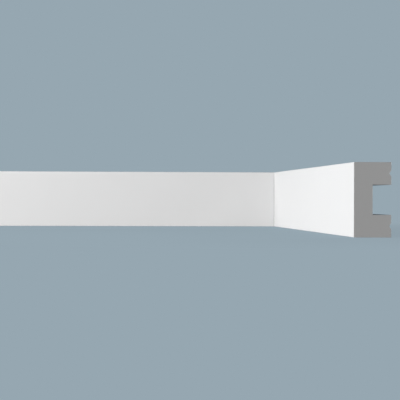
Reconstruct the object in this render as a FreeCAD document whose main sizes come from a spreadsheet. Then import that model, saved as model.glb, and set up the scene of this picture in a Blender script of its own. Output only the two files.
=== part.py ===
"""Inside corner of square-edged panel moulding, two lengths mitred together.

Both lengths are cut from the same white moulding: a plain square bar whose back has a cable
channel between two legs, and a V groove for adhesive down the middle of each leg's back.
The long run lies along X with its face to -Y, and the return comes forward along -Y with its
face to -X, so the two faces meet in an inside corner. Each meets the other in a 45 degree mitre.

Millimetres, +Z up. The origin is the middle of the footprint, at the height of the lower edge.
Lengths are measured along the back, from the square-cut end to the mitre's long point, which is
where the two wall planes cross.
"""

import FreeCAD
import Part
import Sketcher
import math
import os
from enum import IntEnum
from FreeCAD import Vector

SIZES = {
    "section_height": 40.0,
    "section_depth": 20.0,
    "arris_radius": 0.4,
    "channel_height": 16.0,
    "channel_depth": 10.0,
    "groove_width": 3.5,
    "groove_depth": 1.0,
    "long_run_length": 2000.0,
    "return_length": 400.0,
}
PARTS_FOLDER = "parts"
VOLUME_TOLERANCE = 1e-6

# How far the mitre's cut runs either side of the wall corner, in section depths
SAW_REACH = 2


class LineEnd(IntEnum):
    """Which end of a sketch element a constraint takes hold of."""

    START = 1
    END = 2


class SketchAxis(IntEnum):
    """A sketch's own axes, as constraints name them."""

    LEVEL = -1
    UPRIGHT = -2


START, END = LineEnd

# A sketch's origin is where its level axis starts
ORIGIN = (SketchAxis.LEVEL, START)


def make_size_sheet(doc):
    """Puts the driving dimensions into a spreadsheet, one named cell each."""
    sheet = doc.addObject("Spreadsheet::Sheet", "Sizes")
    for row, (name, value) in enumerate(SIZES.items(), start=1):
        sheet.set(f"A{row}", name.replace("_", " "))
        sheet.set(f"B{row}", str(value))
        sheet.setAlias(f"B{row}", name)
    doc.recompute()
    return sheet


def origin_plane(body, role):
    """The body's own base plane with that role, such as YZ_Plane."""
    return next(plane for plane in body.Origin.OriginFeatures if plane.Role == role)


def new_sketch(body, name, plane_role):
    sketch = body.newObject("Sketcher::SketchObject", name)
    sketch.AttachmentSupport = [(origin_plane(body, plane_role), "")]
    sketch.MapMode = "FlatFace"
    return sketch


def bind(sketch, size, constraint):
    """Adds a dimension to the sketch and ties it to the sheet's cell for that size."""
    index = sketch.addConstraint(constraint)
    label = f"{size}_{index}"
    sketch.renameConstraint(index, label)
    sketch.setExpression(f"Constraints.{label}", f"Sizes.{size}")


def draw_section(sketch):
    """Draws the moulding's cross-section, with the back on the upright axis and the face to the left.

    Going round: lower edge, back of the lower leg with its groove, cable channel, back of the
    upper leg with its groove, upper edge, rounded arris, face, rounded arris.
    """
    high = SIZES["section_height"]
    face_x = -SIZES["section_depth"]
    radius = SIZES["arris_radius"]
    floor_x = -SIZES["channel_depth"]
    apex_x = -SIZES["groove_depth"]
    half_groove = SIZES["groove_width"] / 2
    leg = (high - SIZES["channel_height"]) / 2

    def groove_points(middle):
        return [(0, middle - half_groove), (apex_x, middle), (0, middle + half_groove)]

    outline = [
        (face_x + radius, 0),
        (0, 0),
        *groove_points(leg / 2),
        (0, leg),
        (floor_x, leg),
        (floor_x, high - leg),
        (0, high - leg),
        *groove_points(high - leg / 2),
        (0, high),
        (face_x + radius, high),
    ]
    lines = [
        sketch.addGeometry(Part.LineSegment(Vector(*a, 0), Vector(*b, 0)))
        for a, b in zip(outline, outline[1:])
    ]

    def add_arris(centre_z, start_angle):
        circle = Part.Circle(Vector(face_x + radius, centre_z, 0), Vector(0, 0, 1), radius)
        arc = Part.ArcOfCircle(circle, start_angle, start_angle + math.pi / 2)
        return sketch.addGeometry(arc)

    upper_arris = add_arris(high - radius, math.pi / 2)
    face_line = Part.LineSegment(Vector(face_x, high - radius, 0), Vector(face_x, radius, 0))
    face = sketch.addGeometry(face_line)
    lower_arris = add_arris(radius, math.pi)

    (
        lower_edge,
        lower_leg_below,
        lower_groove_in,
        lower_groove_out,
        lower_leg_above,
        channel_sill,
        channel_floor,
        channel_roof,
        upper_leg_below,
        upper_groove_in,
        upper_groove_out,
        upper_leg_above,
        upper_edge,
    ) = lines

    def fix(kind, *where):
        sketch.addConstraint(Sketcher.Constraint(kind, *where))

    # One closed outline, with its back on the upright axis and its lower corner at the origin
    for line, following in zip(lines, lines[1:]):
        fix("Coincident", line, END, following, START)
    rounded = [upper_edge, upper_arris, face, lower_arris, lower_edge]
    for element, following in zip(rounded, rounded[1:]):
        fix("Tangent", element, END, following, START)
    for line in (lower_edge, channel_sill, channel_roof, upper_edge):
        fix("Horizontal", line)
    leg_backs = (lower_leg_below, lower_leg_above, upper_leg_below, upper_leg_above)
    for line in (*leg_backs, channel_floor, face):
        fix("Vertical", line)
    fix("Coincident", lower_edge, END, *ORIGIN)
    for line in (lower_leg_above, upper_leg_below, upper_leg_above):
        fix("PointOnObject", line, START, SketchAxis.UPRIGHT)

    # The channel is midway up the back, and each groove is midway up its leg
    for line, equal_line in (
        (lower_leg_below, lower_leg_above),
        (lower_leg_above, upper_leg_below),
        (upper_leg_below, upper_leg_above),
        (lower_groove_in, lower_groove_out),
        (upper_groove_in, upper_groove_out),
        (upper_arris, lower_arris),
    ):
        fix("Equal", line, equal_line)

    def across(size, *ends):
        bind(sketch, size, Sketcher.Constraint("DistanceX", *ends, SIZES[size]))

    def upward(size, *ends):
        bind(sketch, size, Sketcher.Constraint("DistanceY", *ends, SIZES[size]))

    upward("section_height", lower_edge, END, upper_edge, START)
    across("section_depth", face, END, lower_edge, END)
    upward("channel_height", channel_floor, START, channel_floor, END)
    across("channel_depth", channel_sill, END, channel_sill, START)
    for groove_in, groove_out in (
        (lower_groove_in, lower_groove_out),
        (upper_groove_in, upper_groove_out),
    ):
        upward("groove_width", groove_in, START, groove_out, END)
        across("groove_depth", groove_in, END, groove_in, START)
    bind(sketch, "arris_radius", Sketcher.Constraint("Radius", upper_arris, SIZES["arris_radius"]))


def draw_mitre_waste(sketch, along_x):
    """Draws, in plan, the wedge that the mitre saw takes off a length's end.

    The cut runs at 45 degrees through the wall corner, which is the sketch's origin, and goes on
    past the moulding on both sides, as a saw cuts past its work.
    """
    reach = SAW_REACH * SIZES["section_depth"]
    outer = (reach, reach)
    inner = (-reach, -reach)
    corner = (reach, -reach) if along_x else (-reach, reach)
    outline = [outer, corner, inner]
    cut_sides = [
        sketch.addGeometry(Part.LineSegment(Vector(*a, 0), Vector(*b, 0)))
        for a, b in zip(outline, outline[1:] + outline[:1])
    ]
    for side, following in zip(cut_sides, cut_sides[1:] + cut_sides[:1]):
        sketch.addConstraint(Sketcher.Constraint("Coincident", side, END, following, START))
    first_side, second_side, mitre = cut_sides
    upright, level = (first_side, second_side) if along_x else (second_side, first_side)
    sketch.addConstraint(Sketcher.Constraint("Vertical", upright))
    sketch.addConstraint(Sketcher.Constraint("Horizontal", level))
    sketch.addConstraint(Sketcher.Constraint("Equal", upright, level))
    sketch.addConstraint(Sketcher.Constraint("Symmetric", mitre, START, mitre, END, *ORIGIN))
    index = sketch.addConstraint(Sketcher.Constraint("DistanceX", *ORIGIN, mitre, END, reach))
    sketch.renameConstraint(index, "saw_reach")
    sketch.setExpression("Constraints.saw_reach", f"{SAW_REACH} * Sizes.section_depth")


def make_length(doc, label, length_size, along_x):
    """One length of moulding: the section extruded from the wall corner, then sawn to its mitre."""
    body = doc.addObject("PartDesign::Body", label)
    body.Label = label

    section = new_sketch(body, f"{label}_section", "YZ_Plane" if along_x else "XZ_Plane")
    draw_section(section)
    bar = body.newObject("PartDesign::Pad", f"{label}_bar")
    bar.Profile = section
    bar.Reversed = along_x
    bar.setExpression("Length", f"Sizes.{length_size}")
    doc.recompute()

    waste = new_sketch(body, f"{label}_mitre_waste", "XY_Plane")
    draw_mitre_waste(waste, along_x)
    mitre = body.newObject("PartDesign::Pocket", f"{label}_mitre")
    mitre.Profile = waste
    mitre.Type = "ThroughAll"
    mitre.Midplane = True
    doc.recompute()

    # The wall corner stands half a length from the middle of the footprint, both ways
    body.setExpression("Placement.Base.x", "Sizes.long_run_length / 2")
    body.setExpression("Placement.Base.y", "Sizes.return_length / 2")
    doc.recompute()
    return body, section


def check_document(doc):
    """Nothing has failed, and every sketch is fully constrained."""
    for item in doc.Objects:
        if "Invalid" in item.State or "Error" in item.State:
            raise RuntimeError(f"{item.Label} failed: {item.State}")
        if item.isDerivedFrom("Sketcher::SketchObject"):
            if item.solve() != 0 or not item.FullyConstrained:
                raise RuntimeError(f"{item.Label} isn't fully constrained")


def check_length(body, section, length):
    """A mitred length is as long, on average, as it is at its section's centre of area."""
    shape = body.Shape
    if shape.isNull() or not shape.isValid() or len(shape.Solids) != 1:
        raise RuntimeError(f"{body.Label} isn't one sound solid")
    face = Part.Face(section.Shape.Wires[0])
    centre = face.CenterOfMass
    centre_to_back = -(centre.x + centre.y)
    expected = face.Area * (length - centre_to_back)
    if abs(shape.Volume - expected) > VOLUME_TOLERANCE * expected:
        raise RuntimeError(f"{body.Label} holds {shape.Volume} mm3 instead of {expected} mm3")


def main():
    doc = FreeCAD.newDocument("panel_moulding_corner")
    sheet = make_size_sheet(doc)
    lengths = []
    for label, length_size, along_x in (
        ("long_run", "long_run_length", True),
        ("return_run", "return_length", False),
    ):
        body, section = make_length(doc, label, length_size, along_x)
        lengths.append((body, section, sheet.get(length_size)))

    check_document(doc)
    for body, section, length in lengths:
        check_length(body, section, length)

    os.makedirs(PARTS_FOLDER, exist_ok=True)
    for body, section, length in lengths:
        body.Shape.exportStep(os.path.join(PARTS_FOLDER, f"{body.Label}.step"))
        box = body.Shape.BoundBox
        print(
            f"{body.Label}: {box.XLength:.2f} x {box.YLength:.2f} x {box.ZLength:.2f} mm,"
            f" {body.Shape.Volume / 1000:.1f} cm3"
        )


main()
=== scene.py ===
import math

import bmesh
import bpy
from mathutils import Matrix, Vector


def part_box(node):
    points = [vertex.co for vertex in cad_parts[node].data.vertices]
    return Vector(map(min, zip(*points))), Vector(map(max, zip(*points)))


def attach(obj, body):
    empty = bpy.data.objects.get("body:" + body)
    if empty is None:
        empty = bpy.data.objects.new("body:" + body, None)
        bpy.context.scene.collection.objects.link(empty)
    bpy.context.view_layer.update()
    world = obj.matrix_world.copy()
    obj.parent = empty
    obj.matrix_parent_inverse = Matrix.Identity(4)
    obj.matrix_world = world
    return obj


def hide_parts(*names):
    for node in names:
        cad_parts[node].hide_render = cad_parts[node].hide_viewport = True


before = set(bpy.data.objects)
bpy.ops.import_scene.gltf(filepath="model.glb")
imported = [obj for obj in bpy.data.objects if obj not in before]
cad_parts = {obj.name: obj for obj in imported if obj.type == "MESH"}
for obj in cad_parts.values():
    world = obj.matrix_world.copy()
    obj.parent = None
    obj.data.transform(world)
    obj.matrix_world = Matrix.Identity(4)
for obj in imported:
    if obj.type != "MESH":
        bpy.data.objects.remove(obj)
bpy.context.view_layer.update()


# The long run is a length of square-edged panel moulding, extruded from rigid grey polymer foam. White
# primer covers its face and edges; its back stays raw, with a cable channel and two adhesive grooves.
# It is sawn square at its far end and mitred at the corner, where it is glued to the return.

long_low, long_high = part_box("long_run")
return_low, return_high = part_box("return_run")
section_height = long_high.z - long_low.z
section_depth = long_high.y - long_low.y
wall_corner = Vector((return_high.x, long_high.y, long_low.z))
arris_radius = 0.0004
arris_steps = 8
channel_height = 0.016
channel_depth = 0.010
groove_width = 0.0035
groove_depth = 0.001

# The finish of each side of the stock, by its place in a length's list of materials
PRIMED, RAW, SAWN = range(3)


def stock_outline():
    """The moulding's section, as (depth from the back, height, finish of the side that starts there)."""
    leg = (section_height - channel_height) / 2
    outline = []

    def leg_back(foot):
        middle = foot + leg / 2
        outline.append((0.0, foot, RAW))
        outline.append((0.0, middle - groove_width / 2, RAW))
        outline.append((groove_depth, middle, RAW))
        outline.append((0.0, middle + groove_width / 2, RAW))

    def arris(centre_height, first_turn):
        for step in range(arris_steps + 1):
            turn = first_turn + math.pi / 2 * step / arris_steps
            across = section_depth - arris_radius + arris_radius * math.sin(turn)
            outline.append((across, centre_height + arris_radius * math.cos(turn), PRIMED))

    leg_back(0.0)
    outline.append((0.0, leg, RAW))
    outline.append((channel_depth, leg, RAW))
    outline.append((channel_depth, section_height - leg, RAW))
    leg_back(section_height - leg)
    outline.append((0.0, section_height, PRIMED))
    arris(section_height - arris_radius, 0.0)
    arris(arris_radius, math.pi / 2)
    return outline


def drawn_in(outline, ease):
    """The same section made smaller by ease all round."""
    smaller = []
    for index, (depth, height, finish) in enumerate(outline):
        corner = Vector((depth, height))
        before = corner - Vector(outline[index - 1][:2])
        after = Vector(outline[(index + 1) % len(outline)][:2]) - corner
        inward_before = Vector((before.y, -before.x)).normalized()
        inward_after = Vector((after.y, -after.x)).normalized()
        inward = (inward_before + inward_after) / (1 + inward_before.dot(inward_after))
        smaller.append((*(corner + inward * ease), finish))
    return smaller


# A fine saw and a rub of abrasive leave the edges of a cut this much off sharp, and bare of primer.
# At the mitre this bare grey strip is also painted shade: it is made this wide so the inside corner looks
# darker
sawn_edge_ease_and_corner_shade = 0.00012
crisp_edge_angle = math.radians(30)


def cut_length(name, length, place):
    """One length of the stock, mitred at the wall corner and sawn square at length.

    place turns a distance along the back from the wall corner, a depth and a height into a point.
    """
    full = stock_outline()
    eased = drawn_in(full, sawn_edge_ease_and_corner_shade)
    mesh = bpy.data.meshes.new(name)
    work = bmesh.new()

    def ring(outline, distance):
        points = [place(distance(depth), depth, height) for depth, height, _ in outline]
        return [work.verts.new(point) for point in points]

    mitre = ring(eased, lambda depth: depth)
    mitre_edge = ring(full, lambda depth: depth + sawn_edge_ease_and_corner_shade)
    square_edge = ring(full, lambda depth: length - sawn_edge_ease_and_corner_shade)
    square_cut = ring(eased, lambda depth: length)
    # The strips at both cut ends take the sawn grey; at the mitre that grey is partly painted shade for the
    # inside corner
    for near, far, grey_edge_strip in (
        (mitre, mitre_edge, True),
        (mitre_edge, square_edge, False),
        (square_edge, square_cut, True),
    ):
        for side, (_, _, finish) in enumerate(full):
            following = (side + 1) % len(full)
            strip = work.faces.new((near[side], far[side], far[following], near[following]))
            strip.material_index = SAWN if grey_edge_strip else finish
    for cut in (mitre, square_cut):
        work.faces.new(cut).material_index = SAWN
    bmesh.ops.recalc_face_normals(work, faces=work.faces)
    for face in work.faces:
        face.smooth = True
    work.to_mesh(mesh)
    work.free()
    mesh.set_sharp_from_angle(angle=crisp_edge_angle)

    piece = bpy.data.objects.new(name, mesh)
    bpy.context.scene.collection.objects.link(piece)
    even_shading = piece.modifiers.new("even_shading", "WEIGHTED_NORMAL")
    even_shading.keep_sharp = True
    return piece


def add(tree, kind, sockets=None, **settings):
    """Adds a node, with each socket set to a value or wired to another node's output."""
    made = tree.nodes.new(kind)
    for name, value in settings.items():
        setattr(made, name, value)
    for name, value in (sockets or {}).items():
        if isinstance(value, bpy.types.NodeSocket):
            tree.links.new(value, made.inputs[name])
        else:
            made.inputs[name].default_value = value
    return made


def work_out(tree, operation, first, second=0.0):
    """One step of arithmetic on a pattern."""
    return add(tree, "ShaderNodeMath", {0: first, 1: second}, operation=operation).outputs[0]


def blank_finish(name):
    """A new material, its node tree, its shader and the place of each point in metres."""
    finish = bpy.data.materials.new(name)
    finish.use_nodes = True
    tree = finish.node_tree
    shader = tree.nodes["Principled BSDF"]
    point = add(tree, "ShaderNodeTexCoord").outputs["Object"]
    return finish, tree, shader, point


def blotches(tree, point, size):
    """Soft unevenness of about that size."""
    return add(tree, "ShaderNodeTexNoise", {"Vector": point, "Scale": 1 / size}).outputs[0]


def die_lines(tree, point, run, width, length):
    """Faint streaks that the extruder's die leaves along the length; run is the length's direction."""
    stretch = [1 / length if along else 1 / width for along in run]
    stretched = add(tree, "ShaderNodeMapping", {"Vector": point, "Scale": stretch}).outputs[0]
    return add(tree, "ShaderNodeTexNoise", {"Vector": stretched, "Scale": 1.0}).outputs[0]


def between(tree, share, low, high):
    """A number that goes from low to high as share goes from 0 to 1."""
    return add(tree, "ShaderNodeMapRange", {"Value": share, "To Min": low, "To Max": high}).outputs[0]


def shade(tree, share, middle, spread):
    """A neutral shade that strays from middle by spread, as a part of it, each way."""
    ramp = add(tree, "ShaderNodeValToRGB", {"Fac": share})
    ends = (middle * (1 - spread), middle * (1 + spread))
    for element, value in zip(ramp.color_ramp.elements, ends):
        element.color = (value, value, value, 1)
    return ramp.outputs["Color"]


def relief(tree, heights):
    """Bumps laid one over another, each a height pattern with its depth in metres."""
    normal = None
    for pattern, depth in heights:
        bump = add(tree, "ShaderNodeBump", {"Height": pattern, "Distance": depth})
        if normal:
            tree.links.new(normal, bump.inputs["Normal"])
        normal = bump.outputs["Normal"]
    return normal


def finish_with(tree, shader, colour, roughness, normal, gloss):
    """Wires a finish's patterns to its shader."""
    tree.links.new(colour, shader.inputs["Base Color"])
    tree.links.new(roughness, shader.inputs["Roughness"])
    tree.links.new(normal, shader.inputs["Normal"])
    shader.inputs["Specular IOR Level"].default_value = gloss


primer_white = 0.87
primer_spread = 0.01
primer_patch = 0.030
primer_roughness = (0.50, 0.62)
primer_gloss = 0.3
peel_size = 0.0011
peel_depth = 0.000008
primed_line_width = 0.0014
primed_line_length = 0.5
primed_line_depth = 0.000010


def primer_coat(name, run):
    """Sprayed white primer, matt and almost even: a fine peel, with the die's lines just showing."""
    finish, tree, shader, point = blank_finish(name)
    peel = blotches(tree, point, peel_size)
    lines = die_lines(tree, point, run, primed_line_width, primed_line_length)
    white = shade(tree, blotches(tree, point, primer_patch), primer_white, primer_spread)
    bumps = relief(tree, [(peel, peel_depth), (lines, primed_line_depth)])
    finish_with(tree, shader, white, between(tree, peel, *primer_roughness), bumps, primer_gloss)
    return finish


# The raw back is set darker than the cut's grey; part of that darkness is painted shade, so the channel's
# inner walls look as dark as shade makes them
raw_grey_and_channel_shade = 0.13
raw_spread = 0.08
raw_roughness = (0.55, 0.70)
raw_gloss = 0.3
raw_line_width = 0.0009
raw_line_length = 0.35
raw_line_depth = 0.000040
pore_size = 0.0004
pore_depth = 0.000010
overspray_reach = 0.0025
overspray_dot = 0.0007

# A colour Mix node's sockets go by number: the share and the two colours go in, and the mix comes out
MIX_SHARE, MIX_FIRST, MIX_SECOND, MIX_RESULT = 0, 6, 7, 2


def raw_skin(name, run):
    """The extruded grey skin as it left the die, with white overspray dying away from the outer edges."""
    finish, tree, shader, point = blank_finish(name)
    lines = die_lines(tree, point, run, raw_line_width, raw_line_length)
    pores = blotches(tree, point, pore_size)
    height = add(tree, "ShaderNodeSeparateXYZ", {"Vector": point}).outputs["Z"]
    edge = section_height / 2
    off_middle = work_out(tree, "ABSOLUTE", work_out(tree, "SUBTRACT", height, edge))
    reach = {"Value": off_middle, "From Min": edge - overspray_reach, "From Max": edge}
    mist = add(tree, "ShaderNodeMapRange", reach).outputs[0]
    speckled = work_out(tree, "MULTIPLY", mist, blotches(tree, point, overspray_dot))
    colours = {
        MIX_SHARE: speckled,
        MIX_FIRST: shade(tree, lines, raw_grey_and_channel_shade, raw_spread),
        MIX_SECOND: (primer_white, primer_white, primer_white, 1),
    }
    misted = add(tree, "ShaderNodeMix", colours, data_type="RGBA").outputs[MIX_RESULT]
    bumps = relief(tree, [(lines, raw_line_depth), (pores, pore_depth)])
    finish_with(tree, shader, misted, between(tree, pores, *raw_roughness), bumps, raw_gloss)
    return finish


sawn_grey = 0.34
sawn_spread = 0.05
sawn_roughness = (0.70, 0.85)
sawn_gloss = 0.2
cell_size = 0.0003
cell_depth = 0.000020
tooth_pitch = 0.0009
tooth_depth = 0.000003
blade_radius = 0.11


def saw_cut(name, blade_centre):
    """Grey polymer foam as a fine saw leaves it: closed cells cut open, and the blade's shallow arcs."""
    finish, tree, shader, point = blank_finish(name)
    foam = add(tree, "ShaderNodeTexVoronoi", {"Vector": point, "Scale": 1 / cell_size})
    cells = foam.outputs["Distance"]
    swing = add(tree, "ShaderNodeVectorMath", {0: point, 1: blade_centre}, operation="DISTANCE")
    teeth = work_out(tree, "MULTIPLY", swing.outputs["Value"], 2 * math.pi / tooth_pitch)
    grey = shade(tree, cells, sawn_grey, sawn_spread)
    bumps = relief(tree, [(cells, cell_depth), (work_out(tree, "SINE", teeth), tooth_depth)])
    finish_with(tree, shader, grey, between(tree, cells, *sawn_roughness), bumps, sawn_gloss)
    return finish


def coat(piece, name, run, blade_centre):
    """Gives a length its three finishes, in the order that the sides of the stock name them."""
    piece.data.materials.append(primer_coat(f"{name}_primer", run))
    piece.data.materials.append(raw_skin(f"{name}_raw_back", run))
    piece.data.materials.append(saw_cut(f"{name}_saw_cut", blade_centre))


long_run = cut_length(
    "long_run_moulding",
    wall_corner.x - long_low.x,
    lambda along, depth, height: wall_corner + Vector((-along, -depth, height)),
)
along_x = (True, False, False)
coat(long_run, "long_run", along_x, (long_low.x, long_high.y, -blade_radius))
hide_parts("long_run")
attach(long_run, "root")


# The return is a short length of the same stock, with the same finishes. It comes forward from the
# corner, where it is mitred and glued to the long run. Its free end is sawn square, so that the whole
# section shows there.

return_run = cut_length(
    "return_moulding",
    wall_corner.y - return_low.y,
    lambda along, depth, height: wall_corner + Vector((-depth, -along, height)),
)
along_y = (False, True, False)
coat(return_run, "return", along_y, (return_high.x, return_low.y, -blade_radius))
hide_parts("return_run")
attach(return_run, "root")


# The floor and the backdrop are a plain studio sweep, painted one pale blue-grey. The floor gives the
# moulding an even light from below. Close to the moulding it takes the soft shadow, and further off it
# runs into the backdrop with no line.

sweep_colour = (0.305, 0.386, 0.440, 1)
floor_reach = 30.0

# At the moulding this share of the floor's tone is true light and shade, and it dies away over the reach
shadow_share = 0.15
shadow_reach = 0.25

# The lamps' light on the floor there, where 1 shows a colour as it is written
floor_light = 0.69

# The even light that the floor sends up, where 1 is white
floor_glow = 0.52

corners = [
    (-floor_reach, -floor_reach, 0),
    (floor_reach, -floor_reach, 0),
    (floor_reach, floor_reach, 0),
    (-floor_reach, floor_reach, 0),
]
floor_mesh = bpy.data.meshes.new("floor")
floor_mesh.from_pydata(corners, [], [range(len(corners))])
floor = bpy.data.objects.new("floor", floor_mesh)
bpy.context.scene.collection.objects.link(floor)


def seen_directly(tree):
    """1 for what is seen, straight or in a gloss or through a clear thing, 0 for light that bounces."""
    path = add(tree, "ShaderNodeLightPath").outputs
    seen = work_out(tree, "MAXIMUM", path["Is Camera Ray"], path["Is Glossy Ray"])
    return work_out(tree, "MAXIMUM", seen, path["Is Transmission Ray"])


def floor_paint():
    """Paint that shows the sweep's own colour and, close to the moulding, some of the light on it.

    The light that it sends up to the moulding is even, as from a floor that is lit all over.
    """
    finish = bpy.data.materials.new("floor_paint")
    finish.use_nodes = True
    tree = finish.node_tree
    tree.nodes.clear()
    point = add(tree, "ShaderNodeTexCoord").outputs["Object"]
    place = add(tree, "ShaderNodeSeparateXYZ", {"Vector": point}).outputs

    def outside(value, low, high):
        below = work_out(tree, "SUBTRACT", low, value)
        above = work_out(tree, "SUBTRACT", value, high)
        return work_out(tree, "MAXIMUM", work_out(tree, "MAXIMUM", below, above), 0.0)

    def away_from(low, high):
        out = {"X": outside(place["X"], low.x, high.x), "Y": outside(place["Y"], low.y, high.y)}
        step = add(tree, "ShaderNodeCombineXYZ", out).outputs[0]
        return add(tree, "ShaderNodeVectorMath", {0: step}, operation="LENGTH").outputs["Value"]

    off_long_run = away_from(long_low, long_high)
    off_return = away_from(return_low, return_high)
    distance = work_out(tree, "MINIMUM", off_long_run, off_return)
    fade = {"Value": distance, "From Max": shadow_reach, "To Min": shadow_share, "To Max": 0.0}
    share = add(tree, "ShaderNodeMapRange", fade, interpolation_type="SMOOTHSTEP").outputs[0]
    lit_colour = [tone / floor_light for tone in sweep_colour[:3]] + [1]
    plain = add(tree, "ShaderNodeEmission", {"Color": sweep_colour, "Strength": 1.0}).outputs[0]
    lit = add(tree, "ShaderNodeBsdfDiffuse", {"Color": lit_colour}).outputs[0]
    shown = add(tree, "ShaderNodeMixShader", {0: share, 1: plain, 2: lit}).outputs[0]
    glow = add(tree, "ShaderNodeEmission", {"Strength": floor_glow}).outputs[0]
    paint = add(tree, "ShaderNodeMixShader", {0: seen_directly(tree), 1: glow, 2: shown}).outputs[0]
    add(tree, "ShaderNodeOutputMaterial", {"Surface": paint})
    # Rays find so wide a floor by themselves, so it needn't be sampled as a lamp as well
    finish.cycles.emission_sampling = "NONE"
    return finish


floor_mesh.materials.append(floor_paint())

studio_light = 0.1
world = bpy.data.worlds.new("studio")
world.use_nodes = True
bpy.context.scene.world = world
sky = world.node_tree
sky.nodes.clear()
backdrop = add(sky, "ShaderNodeBackground", {"Color": sweep_colour, "Strength": 1.0}).outputs[0]
fill = add(sky, "ShaderNodeBackground", {"Color": (1, 1, 1, 1), "Strength": studio_light}).outputs[0]
both = add(sky, "ShaderNodeMixShader", {0: seen_directly(sky), 1: fill, 2: backdrop}).outputs[0]
add(sky, "ShaderNodeOutputWorld", {"Surface": both})


# Seven softboxes. A large one far to the left lights the return, and two in front light the long run. Two
# on the right shine over the return, which keeps the corner in shade. A low strip lights the cut end, and
# another behind, no higher than the moulding, lights the long run's back.

# Lamps and camera are placed from the inside corner of the two faces
inside_corner = wall_corner - Vector((section_depth, section_depth, 0))


def softbox(name, place, aim, width, height, watts):
    """A soft lamp of that size at place, turned towards aim, both measured from the inside corner."""
    lamp = bpy.data.lights.new(name, "AREA")
    lamp.shape = "RECTANGLE"
    lamp.size = width
    lamp.size_y = height
    lamp.energy = watts
    lamp_object = bpy.data.objects.new(name, lamp)
    bpy.context.scene.collection.objects.link(lamp_object)
    lamp_object.location = inside_corner + Vector(place)
    lamp_object.rotation_euler = (Vector(aim) - Vector(place)).to_track_quat("-Z", "Y").to_euler()
    lamp_object.visible_camera = False


softbox("return_light", place=(-6.4, 0.3, 1.3), aim=(0, -0.2, 0.02), width=2, height=1.2, watts=175)
softbox("face_light", place=(-0.5, -0.6, 0.3), aim=(-0.5, 0, 0.02), width=0.3, height=0.5, watts=3.17)
softbox("run_light", place=(-1.8, -0.9, 0.5), aim=(-1.8, 0, 0.02), width=1, height=0.8, watts=4.24)
softbox("corner_light", place=(0.9, -0.9, 1), aim=(-0.05, -0.05, 0.02), width=0.5, height=0.5, watts=2.69)
softbox("side_light", place=(2.5, -0.7, 0.6), aim=(-0.05, -0.05, 0.02), width=0.8, height=0.8, watts=8.64)
softbox("end_light", place=(0.45, -0.75, 0.03), aim=(0.01, -0.38, 0.02), width=0.5, height=0.04, watts=1.51)
softbox("back_light", place=(-0.8, 1.2, 0.02), aim=(-0.8, 0, 0.02), width=1.6, height=0.03, watts=18)


# The camera has a long lens. It stands level with the middle of the section and looks almost square on
# to the long run's face.

camera_place = inside_corner + Vector((-0.14836, -1.32439, 0.02015))
photo_width = 400
focal_length_in_pixels = 1798.0
yaw = math.radians(4.034)
pitch = math.radians(-0.033)
roll = math.radians(0.183)
camera_data = bpy.data.cameras.new("camera")
camera_data.sensor_width = 36.0
camera_data.lens = camera_data.sensor_width * focal_length_in_pixels / photo_width
camera_data.clip_end = 100.0
camera = bpy.data.objects.new("camera", camera_data)
bpy.context.scene.collection.objects.link(camera)
camera.matrix_world = (
    Matrix.Translation(camera_place)
    @ Matrix.Rotation(-yaw, 4, "Z")
    @ Matrix.Rotation(math.pi / 2 + pitch, 4, "X")
    @ Matrix.Rotation(roll, 4, "Z")
)
bpy.context.scene.camera = camera
bpy.context.scene.view_settings.view_transform = "Standard"
